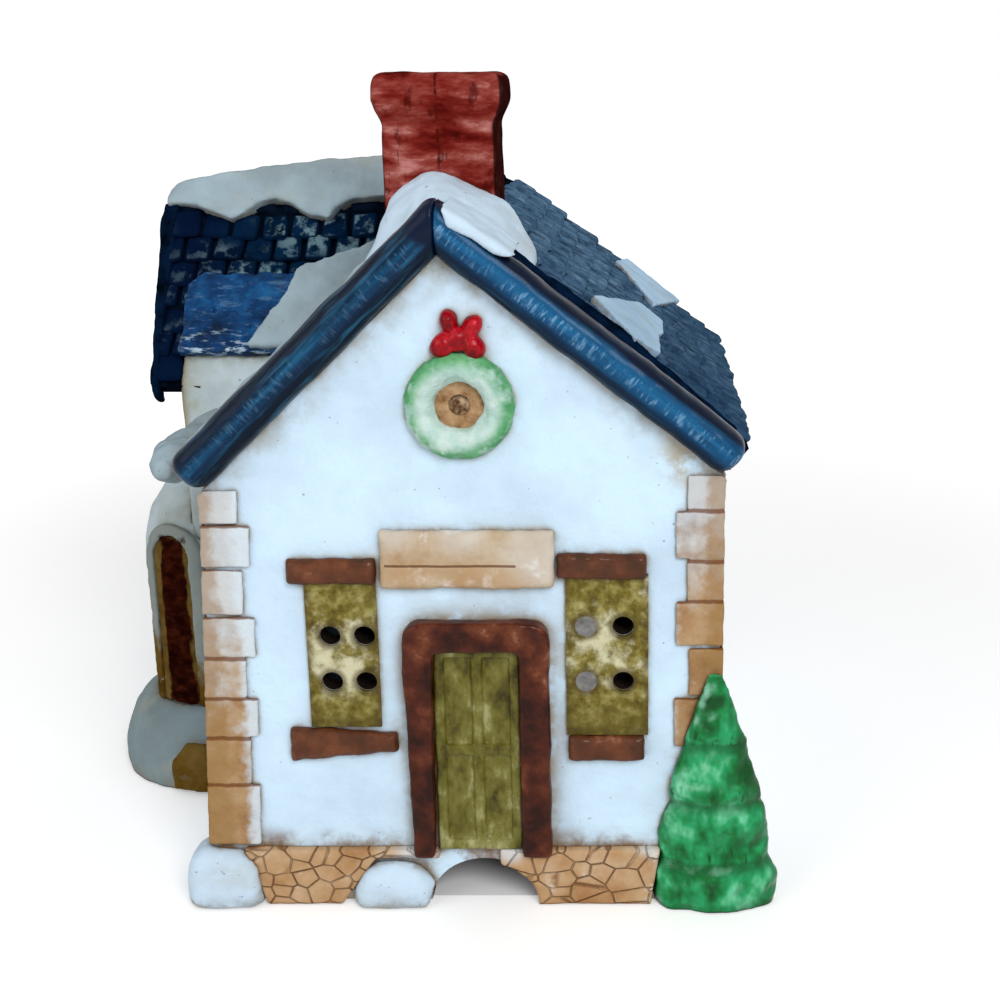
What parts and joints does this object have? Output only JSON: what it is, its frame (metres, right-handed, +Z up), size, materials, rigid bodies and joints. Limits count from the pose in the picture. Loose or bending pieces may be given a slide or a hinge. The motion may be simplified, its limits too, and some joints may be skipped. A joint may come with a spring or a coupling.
{
  "type": "ceramic christmas village house",
  "caption": "Hand-painted bisque Christmas village house with a snowy blue roof, brick chimney, wreath, pine tree and a low round entrance, hollow for a lamp",
  "frame": {"origin": "middle of the whole part's box, on the table", "axes": "+X to the right along the front gable, +Y to the back, along the lamp hole, +Z up"},
  "size_m": [0.1098, 0.0856, 0.1172],
  "materials": {
    "white_bisque": "matte painted bisque",
    "snow": "matte painted bisque",
    "slate_blue": "matte painted bisque",
    "barge_blue": "gloss",
    "brick_red": "matte painted bisque",
    "stone_tan": "matte painted bisque",
    "timber_brown": "gloss",
    "olive_glaze": "gloss",
    "wreath_green": "satin painted bisque",
    "bow_red": "gloss",
    "tree_green": "satin painted bisque",
    "clear_glaze": "gloss",
    "entrance_brown": "matte painted bisque"
  },
  "bodies": {
    "root": {"wall_shell": "white_bisque", "bay_wall": "white_bisque", "entrance_turret": "white_bisque", "chimney_snow": "snow", "wing_ridge_snow": "snow", "valley_snow": "snow", "left_roof_snow": "snow", "left_eave_snow": "snow", "right_roof_snow_upper": "snow", "right_roof_snow_lower": "snow", "corner_snow_mound": "snow", "door_snow_mound": "snow", "entrance_snow_bank": "snow", "main_roof_left_slope": "slate_blue", "main_roof_right_slope": "slate_blue", "wing_roof_front_slope": "slate_blue", "wing_roof_back_slope": "slate_blue", "bay_roof": "slate_blue", "left_bargeboard": "barge_blue", "right_bargeboard": "barge_blue", "chimney": "brick_red", "stone_plinth_left": "stone_tan", "stone_plinth_right": "stone_tan", "left_quoins": "stone_tan", "right_quoins": "stone_tan", "door_lintel_stone": "stone_tan", "entrance_stone": "stone_tan", "entrance_surround": "stone_tan", "door_frame": "timber_brown", "left_window_lintel": "timber_brown", "left_window_sill": "timber_brown", "right_window_lintel": "timber_brown", "right_window_sill": "timber_brown", "side_window_lintel": "timber_brown", "side_window_sill": "timber_brown", "door_panel": "olive_glaze", "left_window_pane": "olive_glaze", "right_window_pane": "olive_glaze", "side_window_pane": "olive_glaze", "wreath_ring": "wreath_green", "wreath_bow": "bow_red", "pine_tree": "tree_green", "glaze_films": "clear_glaze", "entrance_door": "entrance_brown"}
  },
  "joints": []
}
